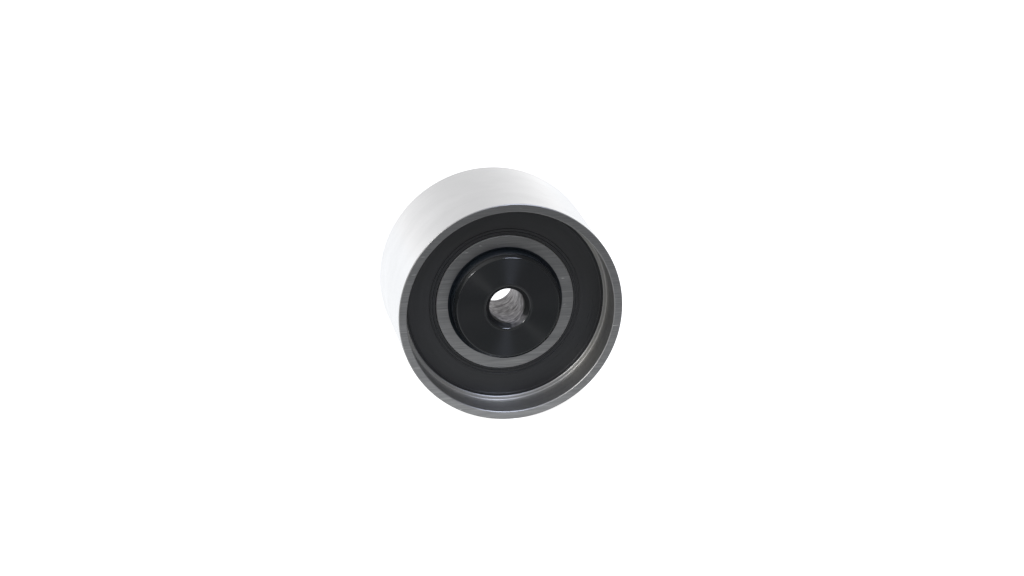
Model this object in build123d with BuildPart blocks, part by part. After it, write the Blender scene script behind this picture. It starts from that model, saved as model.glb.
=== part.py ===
from build123d import *

import math
import os

# A sealed ball-bearing roller, in millimetres. A wide steel outer ring turns on nine balls about an
# inner ring, which is pressed onto a hub with a bolt bore. +Y is the spin axis, +Z is up, and the
# origin is the roller's centre on that axis. The hub stands out of the inner ring as a boss on the
# front, towards -Y.
#
# A turned piece is one profile in the XY plane, where x is the radius and y the place along the
# axis, revolved about the Y axis. "Depth" is the distance inwards from an end face of the bearing.

# Roller and bearing, driving dimensions
roller_radius = 31.0
roller_width = 35.5
recess_radius = 28.75
bearing_width = 17.5
hub_radius = 15.0
ball_diameter = 9.525
ball_count = 9
pitch_radius = 23.0

# Ring edges and seal seats
rolling_edge_bevel = 0.2
rim_inner_bevel = 0.2
recess_corner_fillet = 0.35
shoulder_edge_bevel = 0.2
seal_seat_radius = 27.65
seal_groove_radius = 28.05
seal_groove_depth = 0.8
seal_stop_depth = 2.0
outer_land_radius = 26.0
inner_land_radius = 20.15
inner_step_radius = 19.25
inner_step_depth = 1.9
inner_face_bevel = 0.15
inner_bore_chamfer = 1.0

# Raceways
groove_conformity = 0.52
ball_clearance = 0.02

# Hub
boss_height = 4.47
boss_bevel_width = 0.8
boss_bevel_length = 0.8
boss_face_fillet = 0.45
boss_bevel_fillet = 0.25
bore_radius = 5.0
mouth_radius = 6.2
mouth_length = 1.45
mouth_edge_fillet = 0.6
rear_bore_chamfer = 1.3
hub_rear_bevel = 0.5

# Seals
seal_face_depth = 0.4
seal_skin_thickness = 0.7
seal_lip_gap = 0.1
seal_lip_depth = 1.35
seal_lip_root_radius = 20.6
seal_bead_inner_radius = 27.1
seal_ridge_radii = (20.1, 20.95)
seal_ridge_radius = 0.22
seal_rim_ridge_place = 27.0
seal_rim_ridge_radius = 0.3
seal_rim_ridge_sink = 0.15
plate_thickness = 0.5
plate_inner_radius = 20.9
plate_flange_length = 0.4

# Cage
cage_thickness = 0.8
cage_inner_radius = 21.3
cage_outer_radius = 24.9
pocket_clearance = 0.15
rivet_radius = 0.9
rivet_head_radius = 1.5
rivet_head_height = 0.5
rivet_head_fillet = 0.3

# Values that follow from the dimensions above
ball_radius = ball_diameter / 2
ball_step = 360 / ball_count
rim_face = roller_width / 2
end_face = bearing_width / 2
groove_radius = groove_conformity * ball_diameter
groove_shift = groove_radius - ball_radius - ball_clearance
outer_groove_centre = pitch_radius - groove_shift
inner_groove_centre = pitch_radius + groove_shift
seal_lip_radius = inner_step_radius + seal_lip_gap
skin_back_depth = seal_face_depth + seal_skin_thickness
plate_back_depth = skin_back_depth + plate_thickness
boss_face = end_face + boss_height
pocket_inner_radius = ball_radius + pocket_clearance
pocket_outer_radius = pocket_inner_radius + cage_thickness
cage_end = pocket_outer_radius + cage_thickness

sides = (("front", -1), ("rear", 1))

os.makedirs("parts", exist_ok=True)


def save(piece, name):
    """Labels a finished piece and writes its STEP file."""
    piece.label = name
    export_step(piece, f"parts/{name}.step")


def around_axis(index, share=0.0):
    """The place of a ball, or of a point that share of a step past it, on the pitch circle."""
    angle = math.radians(ball_step * (index + share))
    return (pitch_radius * math.cos(angle), 0, pitch_radius * math.sin(angle))


# Outer ring: the rolling surface outside, and inside it from each end a recess, a shoulder, the
# seal's seat with its snap groove, and the raceway in the middle.
with BuildPart() as outer_ring:
    with BuildSketch(Plane.XY) as outer_profile:
        with BuildLine():
            Polyline(
                (roller_radius, 0),
                (roller_radius, rim_face),
                (recess_radius, rim_face),
                (recess_radius, end_face),
                (seal_seat_radius, end_face),
                (seal_seat_radius, end_face - seal_groove_depth),
                (seal_groove_radius, end_face - seal_groove_depth),
                (seal_groove_radius, end_face - seal_stop_depth),
                (outer_land_radius, end_face - seal_stop_depth),
                (outer_land_radius, 0),
                close=True,
            )
        make_face()
        corners = outer_profile.vertices()
        rim_corners = corners.filter_by(lambda corner: math.isclose(corner.Y, rim_face))
        shoulder_corners = corners.filter_by(lambda corner: math.isclose(corner.Y, end_face))
        chamfer(rim_corners.sort_by(Axis.X)[-1], rolling_edge_bevel)
        chamfer(rim_corners.sort_by(Axis.X)[0], rim_inner_bevel)
        fillet(shoulder_corners.sort_by(Axis.X)[-1], recess_corner_fillet)
        chamfer(shoulder_corners.sort_by(Axis.X)[0], shoulder_edge_bevel)
        mirror(about=Plane.XZ)
        with Locations((outer_groove_centre, 0)):
            Circle(groove_radius, mode=Mode.SUBTRACT)
    revolve(axis=Axis.Y)
save(outer_ring.part, "outer_ring")

# Inner ring: the bore with its chamfers, a step under each seal lip, and the raceway.
with BuildPart() as inner_ring:
    with BuildSketch(Plane.XY) as inner_profile:
        with BuildLine():
            Polyline(
                (hub_radius, 0),
                (hub_radius, end_face),
                (inner_step_radius, end_face),
                (inner_step_radius, end_face - inner_step_depth),
                (inner_land_radius, end_face - inner_step_depth),
                (inner_land_radius, 0),
                close=True,
            )
        make_face()
        corners = inner_profile.vertices()
        face_corners = corners.filter_by(lambda corner: math.isclose(corner.Y, end_face))
        chamfer(face_corners.sort_by(Axis.X)[0], inner_bore_chamfer)
        chamfer(face_corners.sort_by(Axis.X)[-1], inner_face_bevel)
        mirror(about=Plane.XZ)
        with Locations((inner_groove_centre, 0)):
            Circle(groove_radius, mode=Mode.SUBTRACT)
    revolve(axis=Axis.Y)
save(inner_ring.part, "inner_ring")

# Hub: a cylinder that fills the inner ring and stands out in front of it as a boss. The boss has a
# bevelled edge with softened corners, and the bolt bore opens there in a tapered, rounded mouth.
with BuildPart() as hub:
    with BuildSketch(Plane.XY) as hub_profile:
        with BuildLine():
            Polyline(
                (bore_radius, end_face - rear_bore_chamfer),
                (bore_radius + rear_bore_chamfer, end_face),
                (hub_radius, end_face),
                (hub_radius, -boss_face + boss_bevel_length),
                (hub_radius - boss_bevel_width, -boss_face),
                (mouth_radius, -boss_face),
                (bore_radius, -boss_face + mouth_length),
                close=True,
            )
        make_face()
        corners = hub_profile.vertices()
        boss_corners = corners.filter_by(lambda corner: corner.Y < -end_face).sort_by(Axis.X)
        rear_corners = corners.filter_by(lambda corner: math.isclose(corner.Y, end_face))
        fillet(boss_corners[1], mouth_edge_fillet)
        fillet(boss_corners[-2], boss_face_fillet)
        fillet(boss_corners[-1], boss_bevel_fillet)
        chamfer(rear_corners.sort_by(Axis.X)[-1], hub_rear_bevel)
    revolve(axis=Axis.Y)
save(hub.part, "hub")

# Seals: a rubber skin with a bead in the outer ring's groove and a lip beside the inner ring's
# step, moulded over a flat steel insert whose rim is turned inwards.
for side_name, side in sides:
    with BuildPart() as seal:
        with BuildSketch(Plane.XY):
            with BuildLine():
                Polyline(
                    (seal_lip_radius, side * (end_face - seal_face_depth)),
                    (seal_seat_radius, side * (end_face - seal_face_depth)),
                    (seal_seat_radius, side * (end_face - seal_groove_depth)),
                    (seal_groove_radius, side * (end_face - seal_groove_depth)),
                    (seal_groove_radius, side * (end_face - seal_stop_depth)),
                    (seal_bead_inner_radius, side * (end_face - seal_stop_depth)),
                    (seal_bead_inner_radius, side * (end_face - skin_back_depth)),
                    (seal_lip_root_radius, side * (end_face - skin_back_depth)),
                    (seal_lip_radius, side * (end_face - seal_lip_depth)),
                    close=True,
                )
            make_face()
            for ridge_place in seal_ridge_radii:
                with Locations((ridge_place, side * (end_face - seal_face_depth))):
                    Circle(seal_ridge_radius)
            with Locations(
                (seal_rim_ridge_place, side * (end_face - seal_face_depth - seal_rim_ridge_sink))
            ):
                Circle(seal_rim_ridge_radius)
        revolve(axis=Axis.Y)
    save(seal.part, f"{side_name}_seal")

    with BuildPart() as seal_plate:
        with BuildSketch(Plane.XY):
            with BuildLine():
                Polyline(
                    (plate_inner_radius, side * (end_face - skin_back_depth)),
                    (seal_bead_inner_radius, side * (end_face - skin_back_depth)),
                    (
                        seal_bead_inner_radius,
                        side * (end_face - plate_back_depth - plate_flange_length),
                    ),
                    (
                        seal_bead_inner_radius - plate_thickness,
                        side * (end_face - plate_back_depth - plate_flange_length),
                    ),
                    (
                        seal_bead_inner_radius - plate_thickness,
                        side * (end_face - plate_back_depth),
                    ),
                    (plate_inner_radius, side * (end_face - plate_back_depth)),
                    close=True,
                )
            make_face()
        revolve(axis=Axis.Y)
    save(seal_plate.part, f"{side_name}_seal_plate")

# Cage: two wavy pressed strips, flat between the balls and bulged over each one, riveted together
# back to back.
for side_name, side in sides:
    with BuildPart() as cage:
        with BuildSketch(Plane.XY):
            with Locations((pitch_radius, side * cage_thickness / 2)):
                Rectangle(cage_outer_radius - cage_inner_radius, cage_thickness)
        revolve(axis=Axis.Y)
        for index in range(ball_count):
            with Locations(around_axis(index)):
                Sphere(pocket_outer_radius)
        with BuildSketch(Plane.XY):
            with Locations(((cage_inner_radius + cage_outer_radius) / 2, side * cage_end / 2)):
                Rectangle(cage_outer_radius - cage_inner_radius, cage_end)
        revolve(axis=Axis.Y, mode=Mode.INTERSECT)
        for index in range(ball_count):
            with Locations(around_axis(index)):
                Sphere(pocket_inner_radius, mode=Mode.SUBTRACT)
            with Locations(Location(around_axis(index, 0.5), (90, 0, 0))):
                Cylinder(rivet_radius, 4 * cage_thickness, mode=Mode.SUBTRACT)
    save(cage.part, f"{side_name}_cage")

# Cage rivets: a shank through both strips, with a low rounded head on each side.
for index in range(ball_count):
    with BuildPart() as rivet:
        with Locations(Location(around_axis(index, 0.5), (90, 0, 0))):
            Cylinder(rivet_radius, 2 * cage_thickness)
        for _, side in sides:
            x, y, z = around_axis(index, 0.5)
            y = side * (cage_thickness + rivet_head_height / 2)
            with Locations(Location((x, y, z), (90, 0, 0))):
                Cylinder(rivet_head_radius, rivet_head_height)
        fillet(rivet.faces().sort_by(Axis.Y)[0].edges(), rivet_head_fillet)
        fillet(rivet.faces().sort_by(Axis.Y)[-1].edges(), rivet_head_fillet)
    save(rivet.part, f"cage_rivet_{index + 1}")

# Balls
for index in range(ball_count):
    with BuildPart() as ball:
        with Locations(around_axis(index)):
            Sphere(ball_radius)
    save(ball.part, f"ball_{index + 1}")
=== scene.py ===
import math

import bpy
import numpy as np
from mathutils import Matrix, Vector, noise


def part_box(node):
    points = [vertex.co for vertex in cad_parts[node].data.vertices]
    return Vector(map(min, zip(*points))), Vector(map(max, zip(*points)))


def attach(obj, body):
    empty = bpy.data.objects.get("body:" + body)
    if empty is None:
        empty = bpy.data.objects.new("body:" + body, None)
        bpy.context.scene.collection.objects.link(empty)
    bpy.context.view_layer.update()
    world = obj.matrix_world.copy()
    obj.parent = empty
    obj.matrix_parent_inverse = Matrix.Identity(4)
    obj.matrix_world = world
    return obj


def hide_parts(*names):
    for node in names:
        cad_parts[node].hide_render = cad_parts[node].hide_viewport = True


# A sealed ball-bearing roller on a pale studio floor. The five pieces that show, the two rings, the
# hub and the two seals, are turned again as fine lathe meshes with softened edges. The cages, rivets,
# balls and seal inserts keep their CAD shapes. Turned outlines are in millimetres, as (radius, place
# along the axis), and everything else is in metres.

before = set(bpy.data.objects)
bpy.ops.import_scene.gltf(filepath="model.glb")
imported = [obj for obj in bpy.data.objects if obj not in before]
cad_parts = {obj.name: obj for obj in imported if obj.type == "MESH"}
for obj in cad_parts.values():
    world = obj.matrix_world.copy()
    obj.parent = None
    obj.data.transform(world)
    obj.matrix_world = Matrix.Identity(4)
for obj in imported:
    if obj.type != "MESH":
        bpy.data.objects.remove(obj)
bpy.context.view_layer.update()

MM = 0.001
FULL_TURN = 2 * math.pi
QUARTER_TURN = 0.25  # as Blender's shaders count turns

# Main sizes, read from the frame
_, outer_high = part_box("outer_ring")
_, inner_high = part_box("inner_ring")
hub_low, hub_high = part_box("hub")
roller_radius = outer_high.x / MM
rim_face = outer_high.y / MM
end_face = inner_high.y / MM
hub_radius = hub_high.x / MM
boss_face = -hub_low.y / MM

# Outer ring outline
rolling_edge_bevel = 0.2
recess_radius = 28.75
rim_inner_bevel = 0.2
recess_corner_rounding = 0.35
shoulder_edge_bevel = 0.2
seal_seat_radius = 27.65
seal_groove_radius = 28.05
seal_groove_depth = 0.8
seal_stop_depth = 2.0
outer_land_radius = 26.0

# Inner ring outline
inner_land_radius = 20.15
inner_step_radius = 19.25
inner_step_depth = 1.9
inner_face_bevel = 0.15
inner_bore_chamfer = 1.0

# Raceways
pitch_radius = 23.0
ball_diameter = 9.525
ball_clearance = 0.02
groove_conformity = 0.52
groove_radius = groove_conformity * ball_diameter
groove_shift = groove_radius - ball_diameter / 2 - ball_clearance

# Hub outline
boss_bevel_width = 0.8
boss_bevel_length = 0.8
boss_face_rounding = 0.45
boss_bevel_rounding = 0.25
bore_radius = 5.0
mouth_radius = 6.2
mouth_length = 1.45
mouth_rounding = 0.6
rear_bore_chamfer = 1.3
hub_rear_bevel = 0.5

# Seal outline. A ridge is its place, its radius and how far its centre is sunk below the skin.
seal_face_depth = 0.4
skin_back_depth = 1.1
seal_rim_rounding = 0.05
seal_lip_gap = 0.1
seal_lip_depth = 1.35
seal_lip_rounding = 0.08
seal_lip_root_radius = 20.6
seal_bead_inner_radius = 27.1
seal_ridges = ((20.1, 0.22, 0.0), (20.95, 0.22, 0.0), (27.0, 0.3, 0.15))

# Fineness of the lathe meshes, and the softening of steel edges
around_steps = 288
corner_steps = 4
groove_steps = 13
ridge_steps = 12
edge_softening = 0.07
smooth_corner = math.radians(24)

# Rough bore wall, as real relief in millimetres: coarse lumps, and swirls that the lumps push about
bore_relief = 0.07
bore_ring_spacing = 0.22
bore_fade = 0.25
around_stretch = 0.6
along_stretch = 1.1
lump_scale = 0.9
lump_softness = 0.9
lump_step = 2.1
lump_octaves = 3
lump_share = 0.6
swirl_scale = 1.9
swirl_push = 1.5
swirl_share = 0.8

# Black finish at the front of the bore, in metres: the places along the axis over which it gives way
# to bare steel, and over which the painted shade on the bare steel beyond it fades. A tongue of it is
# its direction from +X in degrees, its sharpness and its reach.
black_edge_places = (-0.0119, -0.0108)
mouth_shade_places = (-0.0124, -0.0112)
ragged_reach = 0.002
black_tongues = ((308, 8, 0.0012), (226, 6, -0.0038), (15, 4, -0.0024))
bare_metallic = 0.75


# ---------------------------------------------------------------- outlines


class Wall:
    """One stretch of an outline, from start to end, with its outward normals and its finish."""

    def __init__(self, start, end, finish):
        self.start = start
        self.end = end
        self.finish = finish
        run = np.array(end) - np.array(start)
        normal = np.array((run[1], -run[0])) / np.hypot(*run)
        self.start_normal = normal
        self.end_normal = normal

    def spot_at(self, share):
        """The spot that share of the way along the wall."""
        return self.start + (self.end - self.start) * share

    def normal_at(self, share):
        """The normal that share of the way along the wall."""
        return self.start_normal + (self.end_normal - self.start_normal) * share


def mirrored(half):
    """A half outline, which starts and ends on the middle plane, with its mirror image added."""
    whole = list(half)
    for index in range(len(half) - 1, -1, -1):
        radius, place, rounding, _ = half[index]
        if place > 0:
            whole.append((radius, -place, rounding, half[index - 1][3]))
    return whole


def flipped(outline):
    """The same outline turned end for end."""
    finishes = [corner[3] for corner in outline]
    turned_over = [(radius, -place, rounding) for radius, place, rounding, _ in outline][::-1]
    finishes = finishes[-2::-1] + finishes[-1:]
    return [(*corner, finish) for corner, finish in zip(turned_over, finishes)]


def arc(centre, radius, start, end, steps, finish):
    """Points of an arc in an outline, from one angle to another, both included."""
    points = []
    for step in range(steps + 1):
        angle = start + (end - start) * step / steps
        place = (centre[0] + radius * math.cos(angle), centre[1] + radius * math.sin(angle))
        points.append((*place, 0.0, finish))
    return points


def turn_between(before, after):
    """The angle from one direction to the next, positive to the left."""
    return math.atan2(before[0] * after[1] - before[1] * after[0], float(before @ after))


def unit(direction):
    """The same direction with a length of one."""
    return direction / np.hypot(*direction)


def walls_of(outline):
    """The walls of a closed outline of (radius, place, rounding, finish) corners.

    A corner with a rounding becomes short walls with the exact normals of a tangent arc. Other
    corners stay sharp, unless the outline turns so little there that it stands for a curve."""
    count = len(outline)
    spots = [np.array(corner[:2]) for corner in outline]
    runs = [spots[(index + 1) % count] - spots[index] for index in range(count)]
    trims = []
    for index, (_, _, rounding, _) in enumerate(outline):
        turn = turn_between(runs[index - 1], runs[index])
        trims.append(rounding * math.tan(abs(turn) / 2))
    walls = []
    for index in range(count):
        following = (index + 1) % count
        along = unit(runs[index])
        start = spots[index] + along * trims[index]
        end = spots[following] - along * trims[following]
        walls.append(Wall(start, end, outline[index][3]))
        if outline[following][2] > 0:
            walls += rounding_walls(end, along, unit(runs[following]), outline[following])
    for index, wall in enumerate(walls):
        previous = walls[index - 1]
        bend = math.acos(np.clip(float(previous.end_normal @ wall.start_normal), -1, 1))
        if 0 < bend < smooth_corner:
            shared = unit(previous.end_normal + wall.start_normal)
            previous.end_normal = shared
            wall.start_normal = shared
    return walls


def rounding_walls(start, along, after, corner):
    """Short walls along the tangent arc that rounds one corner."""
    _, _, rounding, finish = corner
    turn = turn_between(along, after)
    side = 1 if turn > 0 else -1
    centre = start + side * rounding * np.array((-along[1], along[0]))
    right, up = start - centre
    spokes = []
    for step in range(corner_steps + 1):
        cosine = math.cos(turn * step / corner_steps)
        sine = math.sin(turn * step / corner_steps)
        spokes.append(np.array((cosine * right - sine * up, sine * right + cosine * up)))
    walls = []
    for first, second in zip(spokes, spokes[1:]):
        wall = Wall(centre + first, centre + second, finish)
        wall.start_normal = side * first / rounding
        wall.end_normal = side * second / rounding
        walls.append(wall)
    return walls


# ---------------------------------------------------------------- lathe meshes


def relief(radius, angle, place):
    """Height of the bore wall's roughness at one spot, in millimetres."""
    around = around_stretch * radius
    spot = Vector((around * math.cos(angle), place * along_stretch, around * math.sin(angle)))
    lumps = noise.fractal(spot * lump_scale, lump_softness, lump_step, lump_octaves)
    swirl = noise.noise(spot * swirl_scale + Vector((lumps, 0, lumps)) * swirl_push)
    return bore_relief * (lump_share * lumps + swirl_share * swirl)


def strips_of(walls, rough_finish):
    """The strips between rings of points, as (wall, share of it at the start, and at the end)."""
    strips = []
    for wall in walls:
        count = 1
        if wall.finish == rough_finish:
            length = np.hypot(*(wall.end - wall.start))
            count = max(1, math.ceil(length / bore_ring_spacing))
        strips += [(wall, step / count, (step + 1) / count) for step in range(count)]
    return strips


def ring_of_points(spot, angles, fade):
    """The points round one spot of an outline, with that share of the relief."""
    radius, place = spot
    radii = np.full(around_steps, radius)
    if fade > 0:
        radii = radii + fade * np.array([relief(radius, angle, place) for angle in angles])
    level = np.full(around_steps, place)
    return np.stack((radii * np.cos(angles), level, radii * np.sin(angles)), axis=1)


def turned(name, outline, finishes, rough_finish=None):
    """A lathe mesh of a closed outline. Walls with the rough finish are divided and roughened."""
    strips = strips_of(walls_of(outline), rough_finish)
    angles = np.arange(around_steps) * FULL_TURN / around_steps
    rings = []
    faces = []
    materials = []
    normals = []
    for row, (wall, start, end) in enumerate(strips):
        above = (row + 1) % len(strips)
        low = wall.normal_at(start)
        high = wall.normal_at(end)
        fade = 0.0
        if wall.finish == rough_finish:
            # The relief fades out at both ends of the wall, and empty normals let it shade itself.
            fade = min(1.0, start / bore_fade, (1 - start) / bore_fade)
            low = high = (0.0, 0.0)
        rings.append(ring_of_points(wall.spot_at(start), angles, fade))
        for column in range(around_steps):
            beside = (column + 1) % around_steps
            spokes = (column, column, beside, beside)
            rows = (row, above, above, row)
            faces.append([ring * around_steps + spoke for ring, spoke in zip(rows, spokes)])
            materials.append(finishes.index(wall.finish))
            for lean, spoke in zip((low, high, high, low), spokes):
                cosine, sine = math.cos(angles[spoke]), math.sin(angles[spoke])
                normals.append((lean[0] * cosine, lean[1], lean[0] * sine))
    mesh = bpy.data.meshes.new(name)
    mesh.from_pydata((np.concatenate(rings) * MM).tolist(), [], faces)
    mesh.polygons.foreach_set("material_index", materials)
    mesh.polygons.foreach_set("use_smooth", [True] * len(faces))
    mesh.normals_split_custom_set(normals)
    mesh.update()
    for finish in finishes:
        mesh.materials.append(material_of[finish])
    return placed(name, mesh)


def placed(name, data):
    """A new object in the scene."""
    thing = bpy.data.objects.new(name, data)
    bpy.context.scene.collection.objects.link(thing)
    return thing


# ---------------------------------------------------------------- nodes


class Nodes:
    """Builds numbers and colours out of nodes in one tree, from one kind of coordinates."""

    def __init__(self, tree, coordinates):
        self.tree = tree
        self.place = tree.nodes.new("ShaderNodeTexCoord").outputs[coordinates]

    def feed(self, socket, value):
        """Gives a socket a fixed number or colour, or what another node puts out."""
        if isinstance(value, bpy.types.NodeSocket):
            self.tree.links.new(value, socket)
        elif isinstance(value, tuple):
            socket.default_value = (*value, 1.0)
        else:
            socket.default_value = value

    def axes(self):
        """The coordinates one by one."""
        split = self.tree.nodes.new("ShaderNodeSeparateXYZ")
        self.feed(split.inputs[0], self.place)
        return split.outputs

    def math(self, operation, *values):
        """The result of one operation on one or two values."""
        node = self.tree.nodes.new("ShaderNodeMath")
        node.operation = operation
        for socket, value in zip(node.inputs, values):
            self.feed(socket, value)
        return node.outputs[0]

    def span(self, value, spread=(0.3, 0.7), to=(0, 1), smooth=False):
        """The value stretched from one range onto another, and held inside it."""
        node = self.tree.nodes.new("ShaderNodeMapRange")
        if smooth:
            node.interpolation_type = "SMOOTHSTEP"
        for socket, part in zip(node.inputs, (value, *spread, *to)):
            self.feed(socket, part)
        return node.outputs[0]


class Finish(Nodes):
    """A material built around one Principled shader."""

    def __init__(self, name, metallic=1.0):
        self.material = bpy.data.materials.new(name)
        self.material.use_nodes = True
        self.material.node_tree.nodes.clear()
        super().__init__(self.material.node_tree, "Object")
        output = self.tree.nodes.new("ShaderNodeOutputMaterial")
        self.shader = self.tree.nodes.new("ShaderNodeBsdfPrincipled")
        self.feed(output.inputs["Surface"], self.shader.outputs["BSDF"])
        self.set("Metallic", metallic)

    def set(self, socket, value):
        """Feeds one socket of the shader."""
        self.feed(self.shader.inputs[socket], value)

    def stretched(self, *scales):
        """Object coordinates multiplied by one scale per axis, or by one for all."""
        node = self.tree.nodes.new("ShaderNodeMapping")
        node.inputs["Scale"].default_value = scales if len(scales) == 3 else scales * 3
        self.feed(node.inputs["Vector"], self.place)
        return node.outputs["Vector"]

    def turned_place(self, radial, axial, around):
        """Coordinates that follow the lathe: fine along the radius and the axis, slow round it."""
        x, y, z = self.axes()
        squares = [self.math("MULTIPLY", part, part) for part in (x, z)]
        radius = self.math("SQRT", self.math("ADD", *squares))
        outwards = self.math("MULTIPLY", radius, radial)
        fine = self.math("ADD", outwards, self.math("MULTIPLY", y, axial))
        join = self.tree.nodes.new("ShaderNodeCombineXYZ")
        parts = (self.math("MULTIPLY", x, around), fine, self.math("MULTIPLY", z, around))
        for socket, part in zip(join.inputs, parts):
            self.feed(socket, part)
        return join.outputs[0]

    def noise(self, vector, detail=3.0, roughness=0.55, distortion=0.0):
        """Noise whose scale is already in its coordinates."""
        node = self.tree.nodes.new("ShaderNodeTexNoise")
        self.feed(node.inputs["Vector"], vector)
        self.feed(node.inputs["Scale"], 1.0)
        self.feed(node.inputs["Detail"], detail)
        self.feed(node.inputs["Roughness"], roughness)
        self.feed(node.inputs["Distortion"], distortion)
        return node.outputs["Fac"]

    def mix(self, share, first, second):
        """One colour turning into another."""
        node = self.tree.nodes.new("ShaderNodeMix")
        node.data_type = "RGBA"
        self.feed(node.inputs[0], share)
        self.feed(node.inputs[6], first)
        self.feed(node.inputs[7], second)
        return node.outputs[2]

    def bump(self, height, distance, strength):
        """Shades the surface as if it were raised, by at most that distance in metres."""
        node = self.tree.nodes.new("ShaderNodeBump")
        self.feed(node.inputs["Strength"], strength)
        self.feed(node.inputs["Distance"], distance)
        self.feed(node.inputs["Height"], height)
        self.set("Normal", node.outputs["Normal"])

    def turned_grooves(self, anisotropy):
        """Spreads the highlights across turning grooves, which run round the spin axis."""
        self.set("Anisotropic", anisotropy)
        self.set("Anisotropic Rotation", QUARTER_TURN)
        node = self.tree.nodes.new("ShaderNodeTangent")
        node.direction_type = "RADIAL"
        node.axis = "Y"
        self.set("Tangent", node.outputs["Tangent"])


# ---------------------------------------------------------------- materials


def shaded(colour, shade):
    """A colour made darker or lighter."""
    return tuple(shade * part for part in colour)


def rolling_steel():
    """Cylinder-ground and polished: bright, with faint rings and soft cloudy patches."""
    finish = Finish("rolling_steel")
    finish.turned_grooves(0.35)
    rings = finish.noise(finish.turned_place(radial=0, axial=5200, around=26), detail=4.0)
    clouds = finish.noise(finish.stretched(55, 90, 55))
    finish.set("Base Color", finish.mix(finish.span(clouds), (0.80, 0.80, 0.81), (0.87, 0.87, 0.88)))
    finish.set("Roughness", finish.span(rings, to=(0.15, 0.25)))
    finish.bump(rings, distance=0.0000012, strength=0.35)
    return finish.material


def ground_face_steel(name, shade):
    """Surface-ground across: straight fine streaks along X, a few bright nicks."""
    finish = Finish(name)
    streaks = finish.noise(finish.stretched(70, 70, 2900), detail=4.0, roughness=0.7)
    patches = finish.noise(finish.stretched(130, 130, 420), detail=2.0)
    nicks = finish.noise(finish.stretched(260, 260, 2100), detail=1.0)
    dark = shaded((0.36, 0.365, 0.37), shade)
    light = shaded((0.58, 0.58, 0.585), shade)
    colour = finish.mix(finish.span(streaks, spread=(0.32, 0.68)), dark, light)
    colour = finish.mix(finish.span(patches, spread=(0.35, 0.7), to=(0, 0.35)), colour, dark)
    colour = finish.mix(finish.span(nicks, spread=(0.77, 0.8)), colour, (0.95, 0.95, 0.95))
    finish.set("Base Color", colour)
    finish.set("Roughness", finish.span(streaks, to=(0.42, 0.32)))
    finish.bump(streaks, distance=0.000004, strength=0.5)
    return finish.material


def bevel_steel():
    """Small turned bevels and shoulder edges: brighter than the faces, with turning lines."""
    finish = Finish("bevel_steel")
    finish.turned_grooves(0.4)
    lines = finish.noise(finish.turned_place(radial=5200, axial=5200, around=40))
    finish.set("Base Color", finish.mix(lines, (0.42, 0.415, 0.41), (0.62, 0.62, 0.615)))
    finish.set("Roughness", finish.span(lines, to=(0.42, 0.52)))
    finish.bump(lines, distance=0.000003, strength=0.4)
    return finish.material


def recess_steel():
    """Hard-turned recess wall and seats: darker, a little brown from heat treatment."""
    finish = Finish("recess_steel")
    finish.turned_grooves(0.5)
    lathe = finish.turned_place(radial=3600, axial=3600, around=30)
    lines = finish.noise(lathe, detail=4.0, roughness=0.65)
    stain_and_shade = finish.span(finish.noise(finish.stretched(85, 60, 85)), spread=(0.35, 0.65))
    colour = finish.mix(stain_and_shade, (0.475, 0.465, 0.44), (0.43, 0.43, 0.43))
    bright_lines = finish.span(lines, spread=(0.35, 0.7), to=(0, 0.45))
    finish.set("Base Color", finish.mix(bright_lines, colour, (0.6, 0.59, 0.565)))
    finish.set("Roughness", finish.span(lines, to=(0.38, 0.5)))
    finish.bump(lines, distance=0.000004, strength=0.5)
    return finish.material


def black_steel(name, ior, anisotropy, roughness, shade=1.0):
    """Black-finished turned steel: glossy, with fine concentric turning under the finish."""
    finish = Finish(name, metallic=0.0)
    finish.set("IOR", ior)
    finish.turned_grooves(anisotropy)
    rings = finish.noise(finish.turned_place(radial=4300, axial=4300, around=26))
    cast = finish.span(finish.noise(finish.stretched(60), detail=2.0), spread=(0.35, 0.65))
    dark = shaded((0.002, 0.0032, 0.0042), shade)
    light = shaded((0.0042, 0.0048, 0.006), shade)
    finish.set("Base Color", finish.mix(cast, dark, light))
    finish.set("Roughness", finish.span(rings, to=roughness))
    finish.bump(rings, distance=0.0000016, strength=0.4)
    return finish.material


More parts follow.
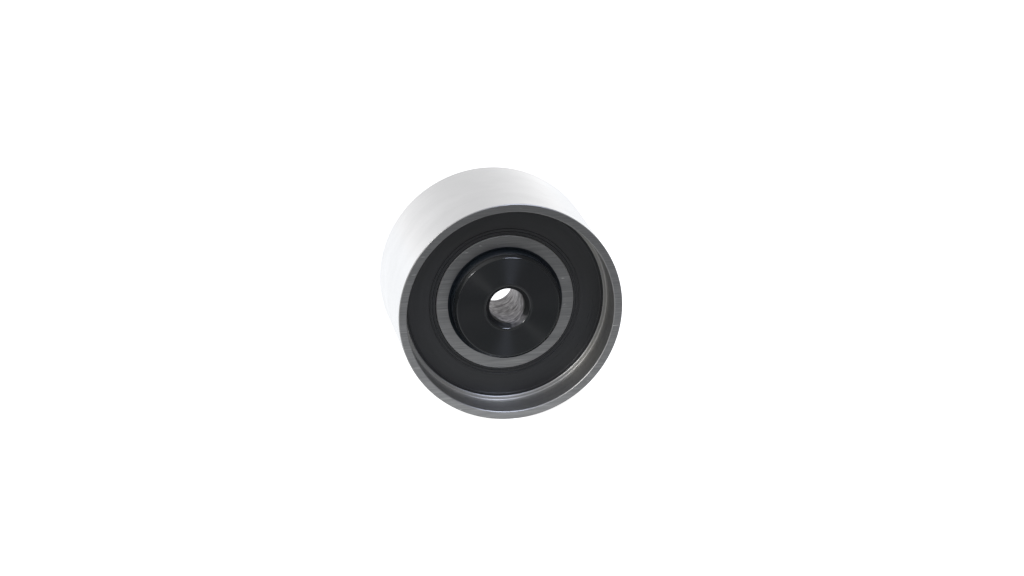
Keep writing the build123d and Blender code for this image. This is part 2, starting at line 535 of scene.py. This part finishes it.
def rough_bore_steel():
    """Bare bore wall: swirled grey relief with darker pits, and the black finish run in over its
    front edge, further on one side than on the other. Painted shade darkens the bare steel
    just beyond that edge."""
    finish = Finish("rough_bore_steel")
    lathe = finish.turned_place(radial=0, axial=640, around=210)
    swirl = finish.noise(lathe, detail=2.5, roughness=0.5, distortion=2.4)
    pits = finish.noise(finish.stretched(420), detail=2.0)
    x, y, z = finish.axes()
    ragged = finish.math("MULTIPLY", finish.math("SUBTRACT", pits, 0.5), ragged_reach)
    edge = finish.math("ADD", y, ragged)
    for direction, sharpness, reach in black_tongues:
        across = finish.math("MULTIPLY", x, math.cos(math.radians(direction)) / (bore_radius * MM))
        upward = finish.math("MULTIPLY", z, math.sin(math.radians(direction)) / (bore_radius * MM))
        toward = finish.math("MAXIMUM", finish.math("ADD", across, upward), 0)
        tongue = finish.math("MULTIPLY", finish.math("POWER", toward, sharpness), reach)
        edge = finish.math("ADD", edge, tongue)
    bare = finish.span(edge, spread=black_edge_places)
    steel = finish.span(swirl, spread=(0.34, 0.66))
    colour = finish.mix(steel, (0.17, 0.16, 0.168), (0.56, 0.545, 0.555))
    deep = finish.span(pits, spread=(0.6, 0.74), to=(0, 0.6))
    colour = finish.mix(deep, colour, (0.08, 0.075, 0.07))
    # Painted shade: the bare steel darkens towards the mouth, just inside the black edge
    stain_and_shade = finish.span(y, spread=mouth_shade_places, to=(0.8, 0))
    colour = finish.mix(stain_and_shade, colour, (0.06, 0.06, 0.062))
    finish.set("Base Color", finish.mix(bare, (0.003, 0.0035, 0.004), colour))
    finish.set("Metallic", finish.math("MULTIPLY", bare, bare_metallic))
    finish.set("Roughness", finish.span(swirl, to=(0.55, 0.42)))
    finish.bump(swirl, distance=0.00006, strength=0.7)
    return finish.material


def seal_rubber():
    """Moulded nitrile rubber: near black, smooth, with faint flow marks."""
    finish = Finish("seal_rubber", metallic=0.0)
    flow = finish.noise(finish.turned_place(radial=900, axial=900, around=60), detail=4.0)
    grain = finish.noise(finish.stretched(5200), detail=2.0)
    colour = finish.mix(finish.span(flow), (0.0145, 0.0155, 0.017), (0.0195, 0.02, 0.0215))
    finish.set("Base Color", colour)
    finish.set("Specular IOR Level", 0.5)
    finish.set("Roughness", finish.span(flow, to=(0.27, 0.36)))
    finish.bump(grain, distance=0.000004, strength=0.35)
    return finish.material


def raceway_steel():
    """Superfinished raceways and lands inside the bearing."""
    finish = Finish("raceway_steel")
    finish.turned_grooves(0.4)
    lines = finish.noise(finish.turned_place(radial=2600, axial=4200, around=30))
    finish.set("Base Color", finish.mix(lines, (0.58, 0.585, 0.59), (0.74, 0.745, 0.75)))
    finish.set("Roughness", finish.span(lines, to=(0.1, 0.18)))
    return finish.material


def pressed_sheet(name, dark, light):
    """Pressed sheet steel with rolled grain, for the cage and the seal inserts."""
    finish = Finish(name)
    grain = finish.noise(finish.stretched(2600, 2600, 180), detail=4.0)
    patches = finish.noise(finish.stretched(210), detail=2.0)
    colour = finish.mix(finish.span(grain), dark, light)
    colour = finish.mix(finish.span(patches, spread=(0.45, 0.75), to=(0, 0.4)), colour, dark)
    finish.set("Base Color", colour)
    finish.set("Roughness", finish.span(grain, to=(0.3, 0.44)))
    finish.bump(grain, distance=0.00001, strength=0.3)
    return finish.material


def rivet_steel():
    """Upset rivet heads with a hammered, satin look."""
    finish = Finish("rivet_steel")
    hammer = finish.noise(finish.stretched(1500), detail=2.0)
    finish.set("Base Color", finish.mix(hammer, (0.4, 0.4, 0.395), (0.6, 0.6, 0.59)))
    finish.set("Roughness", finish.span(hammer, to=(0.28, 0.4)))
    finish.bump(hammer, distance=0.00003, strength=0.4)
    return finish.material


def ball_steel():
    """Lapped balls, mirror bright, with barely visible lapping haze."""
    finish = Finish("ball_steel")
    haze = finish.noise(finish.stretched(900), detail=5.0)
    finish.set("Base Color", finish.mix(haze, (0.78, 0.785, 0.79), (0.86, 0.86, 0.865)))
    finish.set("Roughness", finish.span(haze, to=(0.04, 0.09)))
    return finish.material


material_of = {
    "rolling": rolling_steel(),
    "rim": ground_face_steel("rim_steel", shade=1.0),
    "face": ground_face_steel("ring_steel", shade=0.8),
    "bevel": bevel_steel(),
    "recess": recess_steel(),
    "black": black_steel("black_steel", ior=1.56, anisotropy=0.95, roughness=(0.36, 0.42)),
    "black edge": black_steel("black_edge", ior=1.75, anisotropy=0.3, roughness=(0.07, 0.12)),
    # Painted light: a copy of the black finish made five times lighter, for the boss side and the inner
    # ring's bore chamfer, which lie in shade
    "black side painted light": black_steel("black_side_painted_light", ior=1.9, anisotropy=0.3, roughness=(0.26, 0.36), shade=5.0),
    "bore": rough_bore_steel(),
    "rubber": seal_rubber(),
    "raceway": raceway_steel(),
    "insert": pressed_sheet("insert_steel", dark=(0.36, 0.36, 0.35), light=(0.52, 0.52, 0.51)),
    "cage": pressed_sheet("cage_steel", dark=(0.4, 0.385, 0.36), light=(0.58, 0.57, 0.54)),
    "rivet": rivet_steel(),
    "ball": ball_steel(),
}


# ---------------------------------------------------------------- pieces


def outer_ring():
    """Rolling surface, rims, recesses, shoulders, seal seats with their grooves, and the raceway."""
    centre = pitch_radius - groove_shift
    edge = math.acos((outer_land_radius - centre) / groove_radius)
    half = [
        (roller_radius, 0, 0, "rolling"),
        (roller_radius, rim_face - rolling_edge_bevel, edge_softening, "bevel"),
        (roller_radius - rolling_edge_bevel, rim_face, edge_softening, "rim"),
        (recess_radius + rim_inner_bevel, rim_face, edge_softening, "bevel"),
        (recess_radius, rim_face - rim_inner_bevel, edge_softening, "recess"),
        (recess_radius, end_face, recess_corner_rounding, "recess"),
        (seal_seat_radius + shoulder_edge_bevel, end_face, edge_softening, "bevel"),
        (seal_seat_radius, end_face - shoulder_edge_bevel, edge_softening, "recess"),
        (seal_seat_radius, end_face - seal_groove_depth, 0, "recess"),
        (seal_groove_radius, end_face - seal_groove_depth, 0, "recess"),
        (seal_groove_radius, end_face - seal_stop_depth, 0, "recess"),
        (outer_land_radius, end_face - seal_stop_depth, 0, "raceway"),
        *arc((centre, 0), groove_radius, edge, 0, groove_steps, "raceway"),
    ]
    return turned("roller_ring", mirrored(half), ["rolling", "bevel", "rim", "recess", "raceway"])


def inner_ring():
    """Ground end faces with chamfered bores, a step under each seal lip, and the raceway."""
    centre = pitch_radius + groove_shift
    edge = math.acos((inner_land_radius - centre) / groove_radius)
    half = [
        *arc((centre, 0), groove_radius, math.pi, edge, groove_steps, "raceway"),
        (inner_land_radius, end_face - inner_step_depth, 0, "recess"),
        (inner_step_radius, end_face - inner_step_depth, 0, "recess"),
        (inner_step_radius, end_face - inner_face_bevel, edge_softening, "bevel"),
        (inner_step_radius - inner_face_bevel, end_face, edge_softening, "face"),
        (hub_radius + inner_bore_chamfer, end_face, edge_softening, "black side painted light"),
        (hub_radius, end_face - inner_bore_chamfer, 0, "recess"),
        (hub_radius, 0, 0, "recess"),
    ]
    finishes = ["raceway", "recess", "bevel", "face", "black side painted light"]
    return turned("bearing_inner_ring", mirrored(half), finishes)


def hub():
    """Black hub with its bevelled boss, rounded bore mouth and rough bore."""
    outline = [
        (hub_radius, -boss_face + boss_bevel_length, boss_bevel_rounding, "black edge"),
        (hub_radius, -boss_face + 2 * boss_bevel_length, 0, "black side painted light"),
        (hub_radius, end_face - hub_rear_bevel, edge_softening, "black"),
        (hub_radius - hub_rear_bevel, end_face, edge_softening, "black"),
        (bore_radius + rear_bore_chamfer, end_face, edge_softening, "black"),
        (bore_radius, end_face - rear_bore_chamfer, 0, "bore"),
        (bore_radius, -boss_face + mouth_length, 0, "bore"),
        (mouth_radius, -boss_face, mouth_rounding, "black edge"),
        (mouth_radius + mouth_rounding, -boss_face, 0, "black"),
        (hub_radius - boss_bevel_width, -boss_face, boss_face_rounding, "black edge"),
    ]
    finishes = ["black", "black edge", "black side painted light", "bore"]
    return turned("roller_hub", outline, finishes, rough_finish="bore")


def rear_seal_outline():
    """Snap bead, flat skin with moulded ridges, and the lip beside the inner ring."""
    skin = end_face - seal_face_depth
    ridges = []
    for place, radius, sink in reversed(seal_ridges):
        reach = math.asin(sink / radius)
        ridges += arc((place, skin - sink), radius, reach, math.pi - reach, ridge_steps, "rubber")
    lip_radius = inner_step_radius + seal_lip_gap
    return [
        (seal_groove_radius, end_face - seal_stop_depth, 0, "rubber"),
        (seal_groove_radius, end_face - seal_groove_depth, 0, "rubber"),
        (seal_seat_radius, end_face - seal_groove_depth, 0, "rubber"),
        (seal_seat_radius, skin, seal_rim_rounding, "rubber"),
        *ridges,
        (lip_radius, skin, seal_lip_rounding, "rubber"),
        (lip_radius, end_face - seal_lip_depth, seal_lip_rounding, "rubber"),
        (seal_lip_root_radius, end_face - skin_back_depth, 0, "rubber"),
        (seal_bead_inner_radius, end_face - skin_back_depth, 0, "rubber"),
        (seal_bead_inner_radius, end_face - seal_stop_depth, 0, "rubber"),
    ]


def stand_in(piece, node, body):
    """Puts a turned piece in the place of its CAD node."""
    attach(piece, body)
    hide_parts(node)


stand_in(outer_ring(), "outer_ring", "roller")
stand_in(inner_ring(), "inner_ring", "hub")
stand_in(hub(), "hub", "hub")
rear_seal = turned("rear_rubber_seal", rear_seal_outline(), ["rubber"])
stand_in(rear_seal, "rear_seal", "roller")
front_seal = turned("front_rubber_seal", flipped(rear_seal_outline()), ["rubber"])
stand_in(front_seal, "front_seal", "roller")

inside_finishes = {"seal_plate": "insert", "cage_rivet": "rivet", "_cage": "cage", "ball_": "ball"}
for node_name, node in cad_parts.items():
    for word, finish in inside_finishes.items():
        if word in node_name:
            node.data.materials.clear()
            node.data.materials.append(material_of[finish])


# ---------------------------------------------------------------- floor and backdrop

floor_size = 6.0
floor_level = -roller_radius * MM
glow_drop = 0.0005

# What the steel mirrors of the floor. A pair is where a change starts and ends, in metres, or as a
# share of the contact patch.
cool_white = (0.97, 0.985, 1.0)
glow_near = 0.72
glow_fade = 0.125
glow_cap = 1.1
glow_left = 1.3
glow_left_places = (-0.09, 0.03)
right_shade = 0.8
right_shade_places = (0.035, 0.09)
right_shade_start = (-0.06, -0.02)
# Painted contact shadow in what the steel mirrors of the floor, round where the roller stands
contact_width = 0.05
contact_depth = 0.022
contact_shadow_level = 0.3
contact_edge = (0.6, 1.1)

# What it mirrors of the studio. Places and edges are directions, as parts of a unit vector.
backdrop_level = 1.12
backdrop_fall = 1.06
backdrop_lean = 0.12
backdrop_edge = (0.35, 0.75)
side_levels = (0.62, 0.22)
side_places = (-0.8, 0.7)


def plane(name, height):
    """A wide level square centred under the origin."""
    corners = [(-1, -1), (1, -1), (1, 1), (-1, 1)]
    points = [(x * floor_size / 2, y * floor_size / 2, height) for x, y in corners]
    mesh = bpy.data.meshes.new(name)
    mesh.from_pydata(points, [], [(0, 1, 2, 3)])
    sheet = placed(name, mesh)
    return sheet


def pale_floor():
    """A white studio floor, lit evenly from below the surface as a light table is."""
    floor = plane("floor", floor_level)
    material = bpy.data.materials.new("pale_floor")
    material.use_nodes = True
    shader = material.node_tree.nodes["Principled BSDF"]
    shader.inputs["Base Color"].default_value = (0.9, 0.9, 0.9, 1)
    shader.inputs["Roughness"].default_value = 0.9
    shader.inputs["Emission Color"].default_value = (1, 1, 1, 1)
    shader.inputs["Emission Strength"].default_value = 0.9
    floor.data.materials.append(material)
    floor.visible_glossy = False


def floor_glow():
    """What the steel mirrors of the floor: white behind the roller, fading towards the camera, dim
    beside it on the right, and darkened by a painted contact shadow where it stands."""
    sheet = plane("floor_glow", floor_level - glow_drop)
    material = bpy.data.materials.new("floor_glow")
    material.use_nodes = True
    material.node_tree.nodes.clear()
    glow = Nodes(material.node_tree, "Object")
    output = glow.tree.nodes.new("ShaderNodeOutputMaterial")
    emission = glow.tree.nodes.new("ShaderNodeEmission")
    glow.feed(output.inputs["Surface"], emission.outputs[0])
    x, y, _ = glow.axes()
    fade = glow.math("EXPONENT", glow.math("DIVIDE", y, glow_fade))
    left = glow.span(x, spread=glow_left_places, to=(glow_left, 1), smooth=True)
    slant = glow.math("SUBTRACT", x, y)
    right = glow.span(slant, spread=right_shade_places, to=(0, right_shade), smooth=True)
    right = glow.math("MULTIPLY", right, glow.span(y, spread=right_shade_start, smooth=True))
    across = glow.math("MULTIPLY", left, glow.math("SUBTRACT", 1, right))
    # Painted contact shadow: the glow is dimmed round where the roller stands
    sideways = glow.math("DIVIDE", glow.math("ABSOLUTE", x), contact_width)
    lengthways = glow.math("DIVIDE", glow.math("ABSOLUTE", y), contact_depth)
    outwards = glow.math("MAXIMUM", sideways, lengthways)
    contact_shadow = glow.span(outwards, spread=contact_edge, to=(contact_shadow_level, 1), smooth=True)
    strength = glow.math("MULTIPLY", glow.math("MULTIPLY", fade, glow_near), across)
    strength = glow.math("MULTIPLY", glow.math("MINIMUM", strength, glow_cap), contact_shadow)
    glow.feed(emission.inputs["Strength"], strength)
    glow.feed(emission.inputs["Color"], cool_white)
    sheet.data.materials.append(material)
    sheet.visible_camera = False
    sheet.visible_diffuse = False
    sheet.visible_shadow = False


def studio_world():
    """A bright backdrop behind the roller that dims with height, and a dim studio on the camera's
    side, brighter on the left."""
    world = bpy.data.worlds.new("studio")
    bpy.context.scene.world = world
    world.use_nodes = True
    sky = Nodes(world.node_tree, "Generated")
    x, y, z = sky.axes()
    backdrop = sky.math("SUBTRACT", backdrop_level, sky.math("MULTIPLY", z, backdrop_fall))
    backdrop = sky.math("ADD", backdrop, sky.math("MULTIPLY", x, backdrop_lean))
    studio = sky.span(x, spread=side_places, to=side_levels, smooth=True)
    behind = sky.span(y, spread=backdrop_edge, smooth=True)
    backdrop = sky.math("MULTIPLY", behind, backdrop)
    studio = sky.math("MULTIPLY", sky.math("SUBTRACT", 1, behind), studio)
    background = sky.tree.nodes["Background"]
    sky.feed(background.inputs["Color"], (1, 1, 1))
    sky.feed(background.inputs["Strength"], sky.math("ADD", backdrop, studio))


# ---------------------------------------------------------------- lamps and camera

front_centre = Vector((0, -rim_face * MM, 0))
lamp_distance = 0.6
camera_azimuth = math.radians(-10.97)
camera_elevation = math.radians(19.15)
camera_distance = 24 * roller_radius * MM
aim_right = 0.00522 * roller_radius * MM
aim_up = 0.21975 * roller_radius * MM
lens = 96.2


def softbox(name, direction, width, watts, colour=(1, 1, 1)):
    """A square area light aimed at the front of the roller from one direction."""
    light = bpy.data.lights.new(name, "AREA")
    light.shape = "SQUARE"
    light.size = width
    light.energy = watts
    light.color = colour
    lamp = placed(name, light)
    lamp.location = front_centre + Vector(direction).normalized() * lamp_distance
    lamp.rotation_euler = Vector(direction).to_track_quat("Z", "Y").to_euler()
    lamp.visible_camera = False


def photo_camera():
    """Looks at the roller's front from a little to the left and above."""
    flat = math.cos(camera_elevation)
    sine, cosine = math.sin(camera_azimuth), math.cos(camera_azimuth)
    back = Vector((sine * flat, -cosine * flat, math.sin(camera_elevation)))
    right = Vector((cosine, sine, 0))
    up = back.cross(right)
    camera = placed("camera", bpy.data.cameras.new("camera"))
    camera.data.lens = lens
    camera.data.clip_start = 0.01
    camera.location = front_centre + right * aim_right + up * aim_up + back * camera_distance
    camera.rotation_euler = back.to_track_quat("Z", "Y").to_euler()
    bpy.context.scene.camera = camera


pale_floor()
floor_glow()
studio_world()
softbox("key_light", (0.26, -0.55, 0.79), width=0.2, watts=1.35, colour=(0.72, 0.79, 1.0))
softbox("side_light", (-0.66, -0.55, 0.52), width=0.1, watts=0.65)
photo_camera()
bpy.context.scene.view_settings.view_transform = "Standard"
